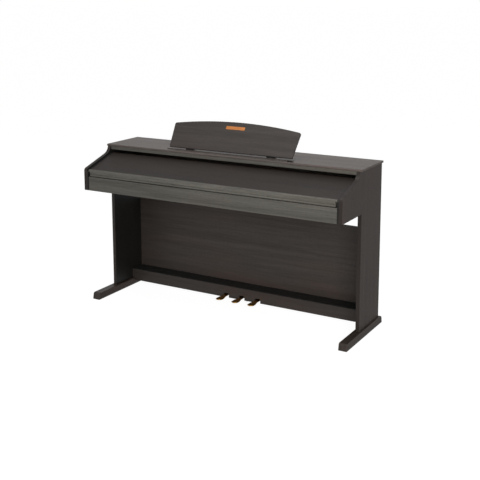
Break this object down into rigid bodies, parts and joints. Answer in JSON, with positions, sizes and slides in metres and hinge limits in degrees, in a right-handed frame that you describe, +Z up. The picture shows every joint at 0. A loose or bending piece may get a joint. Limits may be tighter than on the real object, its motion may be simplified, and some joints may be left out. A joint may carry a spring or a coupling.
{
  "type": "digital piano on stand",
  "caption": "Upright digital piano on a panel stand: sloped arms, key cover sliding on arc guides with rack and pinion, folding music rest, sprung pedals and hinged keys.",
  "frame": {"origin": "centre of the whole piano's box on the floor", "axes": "+X to the player's right, +Y from the player towards the back of the piano, +Z up"},
  "size_m": [1.432, 0.482, 0.9466],
  "materials": {
    "laminate": "dark brown-grey wood-grain laminate, satin",
    "black_board": "black painted board, matt",
    "ivory": "white key plastic, gloss",
    "ebony": "black key plastic, matt",
    "black_plastic": "moulded black plastic, fine texture",
    "brass": "polished brass",
    "steel": "bright drawn steel",
    "dark_steel": "dark zinc plated and painted sheet",
    "circuit_board": "green solder mask"
  },
  "bodies": {
    "root": {"side_panel_left": "laminate", "foot_left": "laminate", "side_panel_right": "laminate", "foot_right": "laminate", "top_board": "laminate", "upper_rail": "laminate", "rear_panel": "laminate", "key_bed": "laminate", "front_rail": "laminate", "stand_back_panel": "laminate", "pedal_front_board": "laminate", "pedal_box_top": "black_board", "pedal_chassis": "dark_steel", "pedal_axle": "steel", "pedal_spring_left": "steel", "pedal_spring_middle": "steel", "pedal_spring_right": "steel", "key_frame": "black_plastic", "white_keys_bass": "ivory", "black_keys_bass": "ebony", "white_keys_treble": "ivory", "black_keys_treble": "ebony", "cheek_block_left": "laminate", "cheek_block_right": "laminate", "control_panel": "black_plastic", "cover_guide_left": "black_plastic", "cover_guide_right": "black_plastic", "hinge_leaf_fixed_left": "dark_steel", "hinge_leaf_fixed_right": "dark_steel", "score_ledge": "laminate", "speaker_left": "black_plastic", "speaker_right": "black_plastic", "main_circuit_board": "circuit_board", "jack_panel": "black_plastic"},
    "key_c4": {"key_c4": "ivory"},
    "key_c_sharp4": {"key_c_sharp4": "ebony"},
    "key_d4": {"key_d4": "ivory"},
    "key_d_sharp4": {"key_d_sharp4": "ebony"},
    "key_e4": {"key_e4": "ivory"},
    "key_f4": {"key_f4": "ivory"},
    "key_f_sharp4": {"key_f_sharp4": "ebony"},
    "key_g4": {"key_g4": "ivory"},
    "key_g_sharp4": {"key_g_sharp4": "ebony"},
    "key_a4": {"key_a4": "ivory"},
    "key_a_sharp4": {"key_a_sharp4": "ebony"},
    "key_b4": {"key_b4": "ivory"},
    "power_button": {"power_button": "black_plastic"},
    "function_button_1": {"function_button_1": "black_plastic"},
    "function_button_2": {"function_button_2": "black_plastic"},
    "volume_knob": {"volume_knob": "black_plastic"},
    "pedal_left": {"pedal_left": "brass"},
    "pedal_middle": {"pedal_middle": "brass"},
    "pedal_right": {"pedal_right": "brass"},
    "height_adjuster": {"height_adjuster": "black_plastic"},
    "key_cover": {"key_cover": "laminate"},
    "cover_pinion_shaft": {"cover_pinion_shaft": "steel"},
    "music_rest": {"music_rest": "laminate", "hinge_leaf_moving_left": "dark_steel", "hinge_leaf_moving_right": "dark_steel"},
    "rest_stay": {"rest_stay": "steel"}
  },
  "joints": [
    {"name": "key_c4_press", "type": "hinge", "parent": "root", "child": "key_c4", "pos_m": [-0.06361, 0.021, 0.661], "axis": [1, 0, 0], "range_deg": [0, 2.4], "stiffness_Nm_per_rad": 0.5, "springref_deg": -21.77},
    {"name": "key_c_sharp4_press", "type": "hinge", "parent": "root", "child": "key_c_sharp4", "pos_m": [-0.04947, 0.021, 0.661], "axis": [1, 0, 0], "range_deg": [0, 2.4], "stiffness_Nm_per_rad": 0.5, "springref_deg": -21.77},
    {"name": "key_d4_press", "type": "hinge", "parent": "root", "child": "key_d4", "pos_m": [-0.03534, 0.021, 0.661], "axis": [1, 0, 0], "range_deg": [0, 2.4], "stiffness_Nm_per_rad": 0.5, "springref_deg": -21.77},
    {"name": "key_d_sharp4_press", "type": "hinge", "parent": "root", "child": "key_d_sharp4", "pos_m": [-0.0212, 0.021, 0.661], "axis": [1, 0, 0], "range_deg": [0, 2.4], "stiffness_Nm_per_rad": 0.5, "springref_deg": -21.77},
    {"name": "key_e4_press", "type": "hinge", "parent": "root", "child": "key_e4", "pos_m": [-0.00707, 0.021, 0.661], "axis": [1, 0, 0], "range_deg": [0, 2.4], "stiffness_Nm_per_rad": 0.5, "springref_deg": -21.77},
    {"name": "key_f4_press", "type": "hinge", "parent": "root", "child": "key_f4", "pos_m": [0.00673, 0.021, 0.661], "axis": [1, 0, 0], "range_deg": [0, 2.4], "stiffness_Nm_per_rad": 0.5, "springref_deg": -21.77},
    {"name": "key_f_sharp4_press", "type": "hinge", "parent": "root", "child": "key_f_sharp4", "pos_m": [0.02019, 0.021, 0.661], "axis": [1, 0, 0], "range_deg": [0, 2.4], "stiffness_Nm_per_rad": 0.5, "springref_deg": -21.77},
    {"name": "key_g4_press", "type": "hinge", "parent": "root", "child": "key_g4", "pos_m": [0.03365, 0.021, 0.661], "axis": [1, 0, 0], "range_deg": [0, 2.4], "stiffness_Nm_per_rad": 0.5, "springref_deg": -21.77},
    {"name": "key_g_sharp4_press", "type": "hinge", "parent": "root", "child": "key_g_sharp4", "pos_m": [0.04711, 0.021, 0.661], "axis": [1, 0, 0], "range_deg": [0, 2.4], "stiffness_Nm_per_rad": 0.5, "springref_deg": -21.77},
    {"name": "key_a4_press", "type": "hinge", "parent": "root", "child": "key_a4", "pos_m": [0.06058, 0.021, 0.661], "axis": [1, 0, 0], "range_deg": [0, 2.4], "stiffness_Nm_per_rad": 0.5, "springref_deg": -21.77},
    {"name": "key_a_sharp4_press", "type": "hinge", "parent": "root", "child": "key_a_sharp4", "pos_m": [0.07404, 0.021, 0.661], "axis": [1, 0, 0], "range_deg": [0, 2.4], "stiffness_Nm_per_rad": 0.5, "springref_deg": -21.77},
    {"name": "key_b4_press", "type": "hinge", "parent": "root", "child": "key_b4", "pos_m": [0.0875, 0.021, 0.661], "axis": [1, 0, 0], "range_deg": [0, 2.4], "stiffness_Nm_per_rad": 0.5, "springref_deg": -21.77},
    {"name": "power_button_press", "type": "slide", "parent": "root", "child": "power_button", "axis": [0, 0.2765, -0.961], "range_m": [0, 0.001], "stiffness_N_per_m": 400, "springref_m": -0.001},
    {"name": "function_button_1_press", "type": "slide", "parent": "root", "child": "function_button_1", "axis": [0, 0.2765, -0.961], "range_m": [0, 0.001], "stiffness_N_per_m": 400, "springref_m": -0.001},
    {"name": "function_button_2_press", "type": "slide", "parent": "root", "child": "function_button_2", "axis": [0, 0.2765, -0.961], "range_m": [0, 0.001], "stiffness_N_per_m": 400, "springref_m": -0.001},
    {"name": "volume_turn", "type": "hinge", "parent": "root", "child": "volume_knob", "pos_m": [-0.58, -0.0275, 0.6915], "axis": [0, -0.2765, 0.961], "range_deg": [-140, 140]},
    {"name": "pedal_left_press", "type": "hinge", "parent": "root", "child": "pedal_left", "pos_m": [-0.092, 0.185, 0.062], "axis": [1, 0, 0], "range_deg": [0, 6], "stiffness_Nm_per_rad": 10, "springref_deg": -8.59, "deforming": ["pedal_spring_left"]},
    {"name": "pedal_middle_press", "type": "hinge", "parent": "root", "child": "pedal_middle", "pos_m": [0, 0.185, 0.062], "axis": [1, 0, 0], "range_deg": [0, 6], "stiffness_Nm_per_rad": 10, "springref_deg": -8.59, "deforming": ["pedal_spring_middle"]},
    {"name": "pedal_right_press", "type": "hinge", "parent": "root", "child": "pedal_right", "pos_m": [0.092, 0.185, 0.062], "axis": [1, 0, 0], "range_deg": [0, 6], "stiffness_Nm_per_rad": 10, "springref_deg": -8.59, "deforming": ["pedal_spring_right"]},
    {"name": "adjuster_screw", "type": "slide", "parent": "root", "child": "height_adjuster", "axis": [0, 0, 1], "range_m": [0, 0.006]},
    {"name": "cover_slide", "type": "hinge", "parent": "root", "child": "key_cover", "pos_m": [0, 0.065, 0.03561], "axis": [-1, 0, 0], "range_deg": [0, 16]},
    {"name": "cover_pinion_spin", "type": "hinge", "parent": "key_cover", "child": "cover_pinion_shaft", "pos_m": [0, -0.04002, 0.73487], "axis": [-1, 0, 0], "range_deg": [0, 1795]},
    {"name": "music_rest_fold", "type": "hinge", "parent": "root", "child": "music_rest", "pos_m": [0, 0.00468, 0.8051], "axis": [-1, 0, 0], "range_deg": [0, 54.5]},
    {"name": "rest_stay_swing", "type": "hinge", "parent": "music_rest", "child": "rest_stay", "pos_m": [0, 0.05756, 0.88432], "axis": [1, 0, 0], "range_deg": [0, 107]}
  ],
  "couplings": [
    {"joint": "cover_pinion_spin", "follows": "cover_slide", "ratio": 112.14},
    {"joint": "rest_stay_swing", "follows": "music_rest_fold", "ratio": 1.95}
  ]
}
